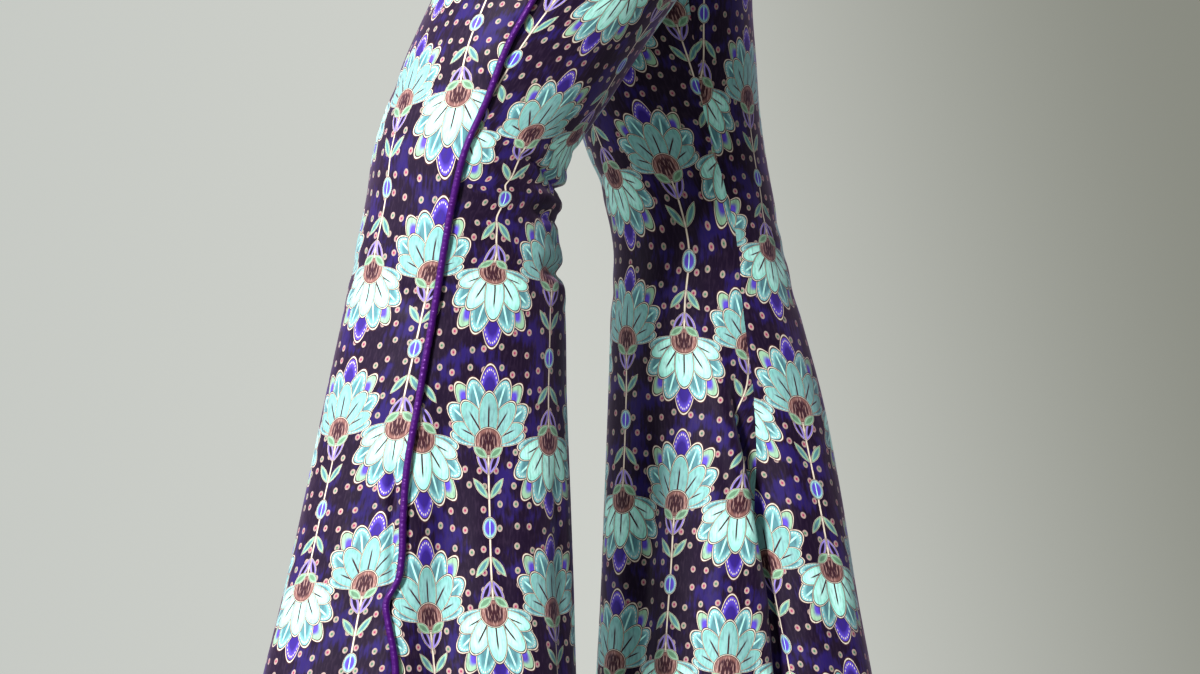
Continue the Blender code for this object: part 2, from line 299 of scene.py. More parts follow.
def leg_points(leg, height, angle):
    """The leg's own oval in the stride plane's frame, with its folds."""
    around = read(leg.rows, "seam", height) - leg.side * np.degrees(angle)
    fore = read(leg.rows, "fore", height)
    aft = read(leg.rows, "aft", height)
    cos = np.cos(np.radians(around))
    sin = np.sin(np.radians(around))
    outward = sin * leg.side > 0.0
    depth = np.where(outward, read(leg.rows, "outer", height), read(leg.rows, "inner", height))
    push = fold_push(leg, height, around)
    along = (fore + aft) / 2.0 + ((aft - fore) / 2.0 + push) * cos
    across = leg.offset + (depth + push) * sin
    points = along[..., None] * ALONG + across[..., None] * ASIDE
    points[..., 2] = height
    return points


def cloth(leg, height, angle):
    """Points of the cloth. The angle is 0 at the side seam, negative in front and positive behind."""
    hip, outerness = hip_points(leg, height, angle)
    own = leg_points(leg, height, angle)
    outer = smooth_step((OUTER_SWING[0] - height) / (OUTER_SWING[0] - OUTER_SWING[1]))
    inner = smooth_step((INNER_SWING[0] - height) / (INNER_SWING[0] - INNER_SWING[1]))
    share = (inner + (outer - inner) * outerness)[..., None]
    return hip * (1.0 - share) + own * share


def unit(vectors):
    return vectors / np.linalg.norm(vectors, axis=-1, keepdims=True)


def frame_at(leg, height, angle):
    """Points of the cloth with the outward normal and the direction of rising angle at each."""
    reach = joined_at(height)[1]
    low = np.maximum(angle - ANGLE_STEP, -reach)
    high = np.minimum(angle + ANGLE_STEP, reach)
    across = unit(cloth(leg, height, high) - cloth(leg, height, low))
    ends = []
    for beside in (height + HEIGHT_STEP, height - HEIGHT_STEP):
        reach = joined_at(beside)[1]
        ends.append(cloth(leg, beside, np.clip(angle, -reach, reach)))
    upward = unit(ends[0] - ends[1])
    normal = unit(np.cross(across, upward)) * leg.side
    return cloth(leg, height, angle), normal, across


side_seam = cloth(LEFT, np.array([-0.567]), np.array([0.0]))[0]
print("Left side seam at the knee:", np.round(side_seam, 3))

# %% [markdown]
# ## Creases as soft troughs and ridges
#
# Creases make cloth out of a smooth form. A maker of a drawing would put each one down by hand; this table
# lists each one. A crease is a path of points on the leg, each at a height and an angle round it, with a
# width and a depth. Its cross section is a soft trough, or a ridge if the depth is above zero, with a slight
# lip on each side, because cloth that goes in somewhere comes out beside it. It fades to nothing at both
# ends.

# %% Table of creases, as drawn from the photo and continued round the hidden sides
Crease = namedtuple("Crease", "path width depth")
LEFT_CREASES = (
    # The narrow trough in front of the side seam, and the shaded valley behind it
    Crease(
        ((-0.722, 113), (-0.75, 110.7), (-0.785, 108.6), (-0.802, 106.4), (-0.826, 104.6)), 0.0032, -0.0040
    ),
    Crease(((-0.728, 117), (-0.76, 115), (-0.80, 111.5), (-0.826, 109)), 0.0050, 0.0010),
    Crease(((-0.67, 96), (-0.74, 88), (-0.84, 84), (-0.93, 82), (-1.02, 80)), 0.013, -0.0036),
    Crease(((-0.66, 60), (-0.74, 62), (-0.84, 58), (-0.95, 54)), 0.010, -0.0016),
    Crease(((-0.70, 150), (-0.80, 148), (-0.92, 150)), 0.010, -0.0014),
    Crease(((-0.72, 26), (-0.82, 24), (-0.96, 26)), 0.009, -0.0022),
    # Bunching behind the knee: a roll, the deep crease under it, and so on down
    Crease(
        ((-0.518, 84), (-0.530, 64), (-0.542, 40), (-0.552, 16), (-0.5535, -10), (-0.552, -44)),
        0.0046,
        0.0022,
    ),
    Crease(((-0.536, 66), (-0.5455, 44), (-0.557, 22), (-0.5600, 0), (-0.5590, -34)), 0.0030, -0.0036),
    Crease(((-0.556, 62), (-0.5625, 42), (-0.569, 20), (-0.5712, -4), (-0.571, -40)), 0.0042, 0.0032),
    Crease(((-0.571, 46), (-0.5785, 24), (-0.5815, 0), (-0.582, -30)), 0.0042, -0.0020),
    Crease(((-0.596, 50), (-0.601, 28), (-0.6035, 4), (-0.604, -30)), 0.0056, 0.0010),
    Crease(((-0.610, 38), (-0.6140, 18), (-0.6150, -4), (-0.614, -30)), 0.0060, -0.0044),
    Crease(((-0.624, 36), (-0.628, 14), (-0.630, -8), (-0.628, -36)), 0.0080, 0.0012),
    Crease(((-0.524, 40), (-0.533, 18), (-0.536, -6), (-0.534, -36)), 0.0046, -0.0012),
    Crease(((-0.590, -80), (-0.582, -58), (-0.577, -34)), 0.0050, 0.0026),
    Crease(((-0.556, -86), (-0.551, -62), (-0.548, -40)), 0.0046, -0.0024),
    Crease(((-0.626, -70), (-0.618, -48), (-0.612, -26)), 0.0050, -0.0024),
    # Soft drags across the thigh and the kneecap
    Crease(((-0.505, 120), (-0.520, 90), (-0.530, 60)), 0.013, -0.0010),
    Crease(((-0.622, 150), (-0.610, 180), (-0.622, 212)), 0.012, -0.0013),
    Crease(((-0.500, 160), (-0.492, 186), (-0.502, 214)), 0.013, -0.0012),
    Crease(((-0.640, 104), (-0.628, 128), (-0.632, 150)), 0.010, -0.0010),
)
RIGHT_CREASES = (
    # The sharp fold that laps over itself on the inner side, and the second fold forward of it
    Crease(((-0.665, 82), (-0.72, 76), (-0.79, 70), (-0.86, 67), (-0.93, 69), (-1.00, 66)), 0.0058, -0.0078),
    Crease(((-0.675, 90), (-0.73, 84), (-0.79, 79), (-0.86, 77), (-0.95, 77)), 0.0075, 0.0042),
    Crease(((-0.69, 124), (-0.74, 126), (-0.80, 134), (-0.90, 140), (-1.01, 143)), 0.011, -0.0036),
    Crease(((-0.66, 46), (-0.74, 42), (-0.84, 38), (-0.96, 36)), 0.010, -0.0020),
    Crease(((-0.72, 108), (-0.80, 106), (-0.92, 108)), 0.012, -0.0013),
    # Soft drags behind the knee, where the nearly straight leg hardly bunches its cloth
    Crease(((-0.575, -46), (-0.582, -8), (-0.578, 14), (-0.566, 44)), 0.0100, -0.0010),
    Crease(((-0.606, -50), (-0.600, -6), (-0.606, 40)), 0.0110, -0.0010),
    Crease(((-0.634, -40), (-0.626, -6), (-0.634, 30)), 0.0110, -0.0008),
    # Soft drags over the kneecap and the thigh
    Crease(((-0.560, 150), (-0.552, 180), (-0.562, 210)), 0.012, -0.0013),
    Crease(((-0.640, 146), (-0.628, 176), (-0.636, 208)), 0.012, -0.0014),
    Crease(((-0.500, 60), (-0.520, 90), (-0.532, 124)), 0.014, -0.0010),
)
# Lines that both legs have at the groin, the hip and the seat, with angles from the side seam
HIP_CREASES = (
    Crease(((-0.262, -150), (-0.240, -112), (-0.212, -74)), 0.0060, -0.0026),
    Crease(((-0.284, -140), (-0.270, -108), (-0.252, -70)), 0.0065, -0.0020),
    Crease(((-0.300, -150), (-0.312, -112), (-0.306, -76)), 0.0070, -0.0016),
    Crease(((-0.268, 152), (-0.296, 116), (-0.300, 76), (-0.286, 44)), 0.0080, -0.0030),
    Crease(((-0.318, 146), (-0.338, 112), (-0.336, 78)), 0.0075, -0.0018),
    Crease(((-0.352, 140), (-0.366, 108), (-0.360, 80)), 0.0080, -0.0013),
    Crease(((-0.058, -44), (-0.100, -38), (-0.146, -28)), 0.0080, -0.0012),
    Crease(((-0.064, 52), (-0.098, 42), (-0.140, 34)), 0.0080, -0.0013),
    Crease(((-0.066, 96), (-0.100, 104), (-0.136, 108)), 0.0075, -0.0010),
)
# Where the side seams stray from their line, in degrees round the leg
Wander = namedtuple("Wander", "height degrees")
LEFT_WANDER = (
    Wander(-0.700, 0.0),
    Wander(-0.740, -0.4),
    Wander(-0.776, 1.2),
    Wander(-0.800, 2.7),
    Wander(-0.813, 2.4),
    Wander(-0.829, -1.6),
    Wander(-0.843, -0.5),
    Wander(-0.861, 1.1),
    Wander(-0.880, 1.6),
    Wander(-0.920, 0.0),
    Wander(-0.970, -0.8),
    Wander(-1.030, 0.0),
)
RIGHT_WANDER = (
    Wander(-0.700, 0.0),
    Wander(-0.770, 1.2),
    Wander(-0.820, -1.4),
    Wander(-0.870, 0.9),
    Wander(-0.940, -0.7),
    Wander(-1.030, 0.0),
)
WANDER_TURN = 0.12
print("Creases:", len(LEFT_CREASES), "left,", len(RIGHT_CREASES), "right,", len(HIP_CREASES), "at each hip")

# %% [markdown]
# ## Measuring how far each point is from a crease
#
# A crease's few control points are joined by a smooth curve and laid onto the surface as a chain of short
# straight runs. The distance from a point of cloth to the chain gives the depth there. Sculpting by hand
# would do as well, but a list can be changed later. Thin fabric seldom folds in a perfectly straight way, so
# two slow waves make each width and depth a little uneven.

# %% Laying creases on the cloth
RUNS = 40
END_TAPER = 0.22
DEGREE_AS_LENGTH = 0.004
NEAR_WIDTHS = 4
LIP = 0.6
RIDGE_POWER = 1.5
Wave = namedtuple("Wave", "size turns step")
UNEVEN = (Wave(0.18, 9.0, 2.1), Wave(0.10, 23.0, 1.0))


def own_creases(leg):
    """The creases listed for this leg."""
    return LEFT_CREASES if leg is LEFT else RIGHT_CREASES


def stray(leg, height, turn):
    """The angle that the side seam strays by, which dies away round the leg."""
    table = LEFT_WANDER if leg is LEFT else RIGHT_WANDER
    return np.radians(read(table, "degrees", height)) * np.exp(-((turn / WANDER_TURN) ** 2))


def smooth_path(path):
    """Many points through the path's control points."""
    controls = np.array(path, float)
    lengths = np.linalg.norm(np.diff(controls, axis=0) * (1.0, DEGREE_AS_LENGTH), axis=1)
    steps = np.concatenate(([0.0], np.cumsum(lengths)))
    slopes = np.gradient(controls, steps, axis=0)
    at = np.linspace(0.0, steps[-1], RUNS + 1)
    row = np.clip(np.searchsorted(steps, at) - 1, 0, len(steps) - 2)
    span = (steps[row + 1] - steps[row])[:, None]
    part = ((at - steps[row]) / span[:, 0])[:, None]
    rise = controls[row + 1] - controls[row]
    bend = (3 * rise - (2 * slopes[row] + slopes[row + 1]) * span) * part**2
    bend = bend + ((slopes[row] + slopes[row + 1]) * span - 2 * rise) * part**3
    return controls[row] + slopes[row] * span * part + bend


def distance_to_chain(points, chain):
    """Each point's distance from the chain, and how far along it the nearest place is, from 0 to 1."""
    nearest = np.full(len(points), np.inf)
    along = np.zeros(len(points))
    runs = len(chain) - 1
    for run in range(runs):
        start = chain[run]
        way = chain[run + 1] - start
        part = np.clip((points - start) @ way / (way @ way), 0.0, 1.0)
        away = np.linalg.norm(points - start - part[:, None] * way, axis=1)
        closer = away < nearest
        nearest = np.where(closer, away, nearest)
        along = np.where(closer, (run + part) / runs, along)
    return nearest, along


def crease_push(leg, creases, points, seam_is_zero):
    """How far the creases push the cloth outward at flat arrays of points."""
    push = np.zeros(len(points))
    for number, crease in enumerate(creases):
        path = smooth_path(crease.path)
        height = path[:, 0]
        if seam_is_zero:
            angle = np.radians(path[:, 1])
        else:
            angle = leg.side * np.radians(read(leg.rows, "seam", height) - path[:, 1])
            angle = (angle + math.pi) % (2.0 * math.pi) - math.pi
        reach = joined_at(height)[1]
        chain = cloth(leg, height, np.clip(angle, -reach, reach))
        low = chain.min(axis=0) - crease.width * NEAR_WIDTHS
        high = chain.max(axis=0) + crease.width * NEAR_WIDTHS
        near = np.flatnonzero(((points > low) & (points < high)).all(axis=1))
        away, along = distance_to_chain(points[near], chain)
        wave = 1.0
        for uneven in UNEVEN:
            wave = wave + uneven.size * np.sin(along * uneven.turns + number * uneven.step)
        part = (away / (crease.width * wave)) ** 2
        taper = smooth_step(along / END_TAPER) * smooth_step((1.0 - along) / END_TAPER)
        if crease.depth > 0.0:
            profile = np.exp(-(part**RIDGE_POWER))
        else:
            profile = (1.0 - LIP * part) * np.exp(-part)
        push[near] += crease.depth * wave * taper * profile
    return push


print("A crease is drawn as", RUNS, "short runs")

# %% [markdown]
# ## Node maths that reads like arithmetic
#
# A printed pattern is a lot of small sums, and a Math node for each is slow to wire by hand. The class below
# wraps a node's output, so that `a + b` or `a * 2` makes the node and the links. Any other node comes from
# one method that takes its type, its settings and its inputs.

# %% A small class for shader nodes


class Field:
    """One output of a shader node, which adds and multiplies like a number."""

    def __init__(self, tree, socket):
        self.tree = tree
        self.socket = socket

    def node(self, kind, settings=None, inputs=None, output=0):
        """A node of any kind. The inputs are values or other fields, by name or by number."""
        made = self.tree.nodes.new(kind)
        for name, value in (settings or {}).items():
            setattr(made, name, value)
        for name, value in (inputs or {}).items():
            if isinstance(value, Field):
                self.tree.links.new(value.socket, made.inputs[name])
            else:
                made.inputs[name].default_value = value
        return Field(self.tree, made.outputs[output])

    def math(self, operation, *others):
        return self.node("ShaderNodeMath", {"operation": operation}, dict(enumerate((self, *others))))

    def __add__(self, other):
        return self.math("ADD", other)

    def __sub__(self, other):
        return self.math("SUBTRACT", other)

    def __mul__(self, other):
        return self.math("MULTIPLY", other)

    def __truediv__(self, other):
        return self.math("DIVIDE", other)

    def __rsub__(self, other):
        return self * -1.0 + other


def remap(field, start, end, low=0.0, high=1.0):
    """A smooth change from low to high while the field goes from start to end."""
    inputs = {0: field, 1: start, 2: end, 3: low, 4: high}
    return field.node("ShaderNodeMapRange", {"interpolation_type": "SMOOTHSTEP"}, inputs)


def blend(share, first, second):
    """The first colour at share 0 and the second at share 1."""
    inputs = {"Factor": share, 6: first, 7: second}
    return share.node("ShaderNodeMix", {"data_type": "RGBA"}, inputs, output=2)


def choose(share, first, second):
    """The first number at share 0 and the second at share 1."""
    return share.node("ShaderNodeMix", {"data_type": "FLOAT"}, {"Factor": share, 2: first, 3: second})


def join_xyz(x, y):
    """A vector of two fields, for nodes that take a place."""
    return x.node("ShaderNodeCombineXYZ", None, {0: x, 1: y})


def split_xyz(vector):
    """The first two fields of a vector."""
    x = vector.node("ShaderNodeSeparateXYZ", None, {0: vector})
    return x, Field(vector.tree, x.socket.node.outputs[1])


def flat_noise(vector, scale, detail):
    """Soft noise on flat cloth, which is around 0.5."""
    inputs = {"Vector": vector, "Scale": scale, "Detail": detail}
    return vector.node("ShaderNodeTexNoise", {"noise_dimensions": "2D"}, inputs)


def new_material(name, roughness, **constants):
    """A material with the given finish, with its node tree and its shader."""
    material = bpy.data.materials.new(name)
    material.use_nodes = True
    tree = material.node_tree
    shader = tree.nodes["Principled BSDF"]
    shader.inputs["Roughness"].default_value = roughness
    for socket, value in constants.items():
        shader.inputs[socket.replace("_", " ")].default_value = value
    return material, tree, shader


print("Node helpers ready")

# %% [markdown]
# ## The printed blossom
#
# The print has fan blossoms on short stems. Two sets of columns stand half a step apart, as bricks do, and
# every second blossom in a column hangs head down, so tips meet tips. A picture of the pattern could be laid
# round the cloth, but it would blur close up. So the shader works every shape out from distances. The colours
# come first, as a printer mixes the inks first: a dark ground, greens from mint to sage, and warm lines.

# %% Print: layout and colours
COLUMN_STEP = 4.4
MOTIF_HEIGHT = 10.85

GROUND = (0.0120, 0.0048, 0.0200, 1.0)
GROUND_STROKE = (0.0220, 0.0120, 0.1050, 1.0)
MINT = (0.350, 0.750, 0.650, 1.0)
PALE_MINT = (0.450, 0.810, 0.735, 1.0)
AQUA = (0.215, 0.480, 0.500, 1.0)
TEAL = (0.095, 0.240, 0.270, 1.0)
SAGE = (0.140, 0.270, 0.170, 1.0)
PALE_SAGE = (0.290, 0.480, 0.330, 1.0)
CREAM = (0.680, 0.610, 0.500, 1.0)
DOT_CREAM = (0.370, 0.280, 0.250, 1.0)
MAROON = (0.050, 0.017, 0.024, 1.0)
BROWN = (0.240, 0.120, 0.105, 1.0)
VIOLET = (0.110, 0.070, 0.500, 1.0)
INK = (0.040, 0.020, 0.220, 1.0)
ROSE = (0.420, 0.270, 0.240, 1.0)
LILAC = (0.300, 0.240, 0.620, 1.0)
PINK = (0.420, 0.100, 0.170, 1.0)
WASH = (0.05, 0.03, 0.06, 1.0)
print("Columns are", COLUMN_STEP, "cm apart and a blossom with its stem is", MOTIF_HEIGHT, "cm tall")

# %% [markdown]
# ## The petals' table
#
# A blossom is drawn from the back to the front, each petal over the ones before. Here every petal, leaf and
# bud is one row of a table, in centimetres from the middle of the flower. Only the right half is listed,
# because mirroring the width about the stem gives the left one.

# %% Petals, leaves and bud
# A petal's base in the flower, its lean from upright in degrees, its half length and half width, its two
# colours, and whether it is round ended. The list runs from the back of the flower to the front.
Petal = namedtuple("Petal", "base lean length width heart body round_end")
PETALS = (
    Petal((0.04, -2.15), 24, 0.90, 0.28, GROUND, LILAC, False),
    Petal((0.04, -3.65), 36, 0.82, 0.25, TEAL, PALE_SAGE, False),
    Petal((0.00, -6.10), 0, 0.68, 0.42, VIOLET, AQUA, True),
    Petal((0.10, 0.30), 64, 1.30, 0.50, VIOLET, PALE_SAGE, True),
    Petal((0.10, 0.40), 32, 1.98, 0.58, VIOLET, PALE_SAGE, True),
    Petal((0.00, 0.60), 0, 2.20, 0.66, INK, VIOLET, True),
    Petal((0.10, 0.00), 80, 1.22, 0.48, TEAL, AQUA, True),
    Petal((0.10, 0.05), 48, 1.72, 0.66, TEAL, AQUA, True),
    Petal((0.06, 0.10), 16, 2.08, 0.66, TEAL, AQUA, True),
    Petal((0.10, -0.10), 63, 1.28, 0.50, PALE_MINT, MINT, True),
    Petal((0.08, -0.05), 32, 1.55, 0.58, PALE_MINT, MINT, True),
    Petal((0.00, 0.00), 0, 1.62, 0.60, PALE_MINT, MINT, True),
    Petal((0.00, -0.95), 0, 0.92, 0.82, MAROON, BROWN, True),
    Petal((0.05, -1.10), 52, 0.60, 0.30, SAGE, PALE_SAGE, False),
)
print("Half a blossom has", len(PETALS), "petals and leaves")

# %% [markdown]
# ## Painting one petal
#
# A petal is an oval, round at its tip or pointed, that a Mapping node stretches and turns. A colour ramp from
# its middle outward paints the heart, the body, a maroon line and a cream edge. A second set of small marks
# makes it look drawn by hand: a vein, a string of beads near the edge, and streaks in the brown middle.

# %% A petal from its distance
PETAL_EDGE = 0.8
BEADS_ROUND = 4.5
BEAD_RING = 0.52
DARKER_SHARE = 0.60
STREAK_STRETCH = (9.0, 1.2)
STREAK_SHARE = 0.8


def petal_ramp(tree, away, shape):
    """A ramp from the petal's heart to its edge, and then clear."""
    ramp = tree.nodes.new("ShaderNodeValToRGB")
    stops = (
        (0.00, shape.heart, 1.0),
        (0.26, shape.heart, 1.0),
        (0.44, shape.body, 1.0),
        (0.62, shape.body, 1.0),
        (0.66, MAROON, 1.0),
        (0.69, MAROON, 1.0),
        (0.72, CREAM, 1.0),
        (0.765, CREAM, 1.0),
        (0.79, MAROON, 1.0),
        (0.83, MAROON, 1.0),
        (0.86, MAROON, 0.0),
    )
    ramp.color_ramp.elements.remove(ramp.color_ramp.elements[1])
    for number, (at, shade, cover) in enumerate(stops):
        stop = ramp.color_ramp.elements[0] if number == 0 else ramp.color_ramp.elements.new(at)
        stop.position = at
        stop.color = (*shade[:3], cover)
    tree.links.new(away.socket, ramp.inputs[0])
    return Field(tree, ramp.outputs[0]), Field(tree, ramp.outputs[1])


def paint_petal(colour, motif, shape, darker):
    """Paint one petal over the colour so far. The broad ones are teal in the darker flowers."""
    lean = math.radians(shape.lean)
    centre = (
        shape.base[0] + math.sin(lean) * shape.length,
        shape.base[1] + math.cos(lean) * shape.length,
        0.0,
    )
    size = (shape.width / PETAL_EDGE, shape.length / math.sqrt(PETAL_EDGE), 1.0)
    place = {"Vector": motif, "Location": centre, "Rotation": (0.0, 0.0, -lean), "Scale": size}
    own = motif.node("ShaderNodeMapping", {"vector_type": "TEXTURE"}, place)
    across, up = split_xyz(own)
    wide = across * across if shape.round_end else across.math("ABSOLUTE")
    away = up * up + wide
    paint, cover = petal_ramp(motif.tree, away, shape)
    if shape.body in (MINT, AQUA):
        vein = remap(wide, 0.007, 0.003)
    if shape.body == MINT:
        paint = blend(darker * remap(away, 0.62, 0.58) * DARKER_SHARE, paint, TEAL)
        paint = blend(vein * remap(up, 0.50, 0.20), paint, MAROON)
    if shape.body == AQUA:
        paint = blend(vein * remap(up, 0.70, 0.50), paint, PALE_MINT)
    if shape.body in (AQUA, VIOLET):
        ring = (away - BEAD_RING).math("ABSOLUTE")
        beads = (across.math("ARCTAN2", up) * BEADS_ROUND).math("FRACT") - 0.5
        paint = blend(remap(ring, 0.045, 0.030) * remap(beads.math("ABSOLUTE"), 0.30, 0.20), paint, CREAM)
    if shape.body == BROWN:
        streaks = join_xyz(across * STREAK_STRETCH[0], up * STREAK_STRETCH[1])
        noise = flat_noise(streaks, 1.0, 2.0)
        paint = blend(remap(noise, 0.50, 0.62) * remap(away, 0.60, 0.54) * STREAK_SHARE, paint, ROSE)
    return blend(cover, colour, paint)


print("Beads on a petal's whole ring:", round(BEADS_ROUND * 2.0 * math.pi))

# %% [markdown]
# ## The whole print
#
# The flat cloth is folded into one small cell by taking what is left over after whole steps, so a single
# blossom fills it all. The ground gets soft patches, dots that a Voronoi node spreads unevenly, and a stem.
# Then come the petals, one over the other, and last a thin wash, like ink that took unevenly.

# %% Ground, dots, stem and blossoms
BORDER_SHIFT = 1.05
STROKES = (4.2, 0.9, 1.0)
PATCH_SCALE = 0.45
DOT_SQUEEZE = (1.00, 0.80, 1.0)
DOT_UNEVENNESS = 0.42
PINK_ABOVE = 0.55
STEM_TOP = (-0.5, -0.7)
STEM_END = (-5.6, -5.4)
WASH_SHARE = 0.30


def printed_colour(u, v):
    """The print's colour at a place on the flat cloth, in centimetres."""
    flat = join_xyz(u, v)
    across = u / (2.0 * COLUMN_STEP)
    across = ((across - across.math("FLOOR") - 0.5) * (2.0 * COLUMN_STEP)).math("ABSOLUTE")
    up = v / (2.0 * MOTIF_HEIGHT)
    up = ((up - up.math("FLOOR")) * 2.0 - 1.0).math("ABSOLUTE") * MOTIF_HEIGHT - MOTIF_HEIGHT / 2.0
    limit = remap(up, -1.0, 1.0, COLUMN_STEP / 2.0 - BORDER_SHIFT, COLUMN_STEP / 2.0 + BORDER_SHIFT)
    other = across.math("GREATER_THAN", limit)
    x = choose(other, across, COLUMN_STEP - across)
    y = choose(other, up, up * -1.0)
    motif = join_xyz(x, y)
    darker = (v / (2.0 * MOTIF_HEIGHT) + other * 0.5).math("FRACT").math("GREATER_THAN", 0.5)

    strokes = flat.node("ShaderNodeMapping", None, {"Vector": flat, "Scale": STROKES})
    patchy = remap(flat_noise(strokes, 1.0, 3.0) * 0.5 + flat_noise(flat, PATCH_SCALE, 2.0), 0.74, 0.94)
    colour = blend(patchy, GROUND, GROUND_STROKE)

    squeezed = flat.node("ShaderNodeMapping", None, {"Vector": flat, "Scale": DOT_SQUEEZE})
    dots_in = {"Vector": squeezed, "Scale": 1.0, "Randomness": DOT_UNEVENNESS}
    dots = flat.node("ShaderNodeTexVoronoi", {"voronoi_dimensions": "2D"}, dots_in)
    kind = split_xyz(Field(flat.tree, dots.socket.node.outputs["Color"]))[0]
    colour = blend(remap(dots, 0.190, 0.170), colour, DOT_CREAM)
    centre = blend(kind.math("GREATER_THAN", PINK_ABOVE), PINK, SAGE)
    colour = blend(remap(dots, 0.098, 0.074), colour, centre)
    colour = blend(remap(dots, 0.038, 0.024), colour, MAROON)

    below = remap(y, *STEM_TOP) * remap(y, *STEM_END)
    colour = blend(remap(x, 0.11, 0.08) * below, colour, MAROON)
    colour = blend(remap(x, 0.07, 0.045) * below, colour, CREAM)
    for shape in PETALS:
        colour = paint_petal(colour, motif, shape, darker)
    return blend(remap(flat_noise(strokes, 1.6, 3.0), 0.44, 0.72) * WASH_SHARE, colour, WASH)


print("One blossom's cell is", COLUMN_STEP, "by", MOTIF_HEIGHT, "cm")

# %% [markdown]
# ## Cloth materials
#
# The right side of the jersey has the print and a soft sheen, as fine stretch yarn has. The wrong side is
# nearly plain, because the dye hardly goes through. It only shows inside the waist and the hems. A fine
# grain in the bump keeps the highlights from looking like plastic. The satin of the piping is smoother, and
# a tinted reflection gives it the deep violet shine of dyed satin.

# %% Jersey right side, wrong side, satin and thread
SHEEN_VIOLET = (0.85, 0.55, 1.0, 1.0)
WRONG_SIDE_DARK = (0.140, 0.125, 0.190, 1.0)
WRONG_SIDE_PALE = (0.165, 0.155, 0.215, 1.0)
DEEP_VIOLET = (0.036, 0.0010, 0.088, 1.0)
SHINE_VIOLET = (0.75, 0.40, 1.0, 1.0)
THREAD_VIOLET = (0.035, 0.018, 0.110, 1.0)
CENTIMETRES = 100.0
WRINKLES_A_METRE = 420.0


def start_fields(tree, layer):
    """The flat cloth's coordinates in centimetres, from the piece's own UV layer."""
    source = tree.nodes.new("ShaderNodeUVMap")
    source.uv_map = layer
    u, v = split_xyz(Field(tree, source.outputs[0]))
    return u * CENTIMETRES, v * CENTIMETRES


def jersey(name, shift):
    sheen = {"Sheen_Weight": 0.22, "Sheen_Roughness": 0.45, "Sheen_Tint": SHEEN_VIOLET}
    material, tree, shader = new_material(name, 0.50, Specular_IOR_Level=0.14, **sheen)
    u, v = start_fields(tree, "flat")
    colour = printed_colour(u + shift[0], v + shift[1])
    tree.links.new(colour.socket, shader.inputs["Base Color"])
    grain = u.node("ShaderNodeTexNoise", None, {"Vector": join_xyz(u, v), "Scale": 14.0, "Detail": 2.0})
    bump = u.node("ShaderNodeBump", None, {"Strength": 0.12, "Distance": 0.0004, "Height": grain})
    tree.links.new(bump.socket, shader.inputs["Normal"])
    return material


def wrong_side():
    material, tree, shader = new_material("jersey_wrong_side", 0.7, Sheen_Weight=0.08)
    u, v = start_fields(tree, "flat")
    noise = u.node("ShaderNodeTexNoise", None, {"Vector": join_xyz(u, v), "Scale": 2.4, "Detail": 3.0})
    colour = blend(remap(noise, 0.35, 0.65), WRONG_SIDE_DARK, WRONG_SIDE_PALE)
    tree.links.new(colour.socket, shader.inputs["Base Color"])
    return material


def satin():
    shine = {"Specular_IOR_Level": 0.64, "Specular_Tint": SHINE_VIOLET}
    material, tree, shader = new_material("violet_satin", 0.38, Base_Color=DEEP_VIOLET, **shine)
    source = tree.nodes.new("ShaderNodeUVMap")
    source.uv_map = "along"
    around, along = split_xyz(Field(tree, source.outputs[0]))
    wrinkles = flat_noise(join_xyz(around * 0.9, along * WRINKLES_A_METRE), 1.0, 2.0)
    bump = around.node("ShaderNodeBump", None, {"Strength": 0.4, "Distance": 0.0008, "Height": wrinkles})
    tree.links.new(bump.socket, shader.inputs["Normal"])
    return material


WRONG_SIDE = wrong_side()
SATIN = satin()
THREAD = new_material("violet_thread", 0.5, Base_Color=THREAD_VIOLET)[0]
print("Materials:", WRONG_SIDE.name, SATIN.name, THREAD.name)

# %% [markdown]
# ## The four panels
#
# Each panel starts as a flat grid, which is then laid on its curved sheet. The rows are closer at the knee,
# where the finest wrinkles are, and the columns are closer at the seams. The creases move the points along
# the cloth's own normal. The UV layer is the flat cut itself, in metres: each row is laid out to its true
# length from the panel's middle line, with its slant evened out over the rows beside it, so the print keeps
# its scale. Solidify adds the thickness.

# %% Panels
CLOTH_WALL = 0.0014
BAND_WALL = 0.0022
GRID_COLUMNS = 96
GRID_ROWS = 360
KNEE_TOP = -0.50
KNEE_BOTTOM = -0.66
KNEE_SHARE = 0.34
BODY_SHARE = 0.36
EDGE_CLOSENESS = 0.5
LEAN_ROWS = 51
ROW_REACH = 3
SMOOTH_ANGLE = math.radians(60)
SEAM_ROLL = 0.0007
SEAM_ROLL_WIDTH = 0.0018
PUCKER = 0.00035
PUCKER_WIDTH = 0.007


def drifting_wave(height, pace, drift, drift_pace):
    """A wave down the cloth that is now quicker and now slower, as a hand-fed seam is."""
    return np.sin(height * pace + drift * np.sin(height * drift_pace))


def rows_to_heights(share):
    """Heights for shares of the way down, with more rows at the knee."""
    top = -BAND_HEIGHT - SEAM_GAP
    places = (0.0, BODY_SHARE, BODY_SHARE + KNEE_SHARE, 1.0)
    return np.interp(share, places, (top, KNEE_TOP, KNEE_BOTTOM, HEM))


def grid_object(name, columns, rows):
    """A flat grid, 2 units wide and tall, and the places of its points."""
    bpy.ops.mesh.primitive_grid_add(x_subdivisions=columns, y_subdivisions=rows, size=2)
    sheet = bpy.context.object
    sheet.name = name
    places = np.array([point.co[:2] for point in sheet.data.vertices])
    return sheet, places


def set_points(sheet, points):
    for point, place in zip(sheet.data.vertices, points):
        point.co = place
    sheet.data.update()


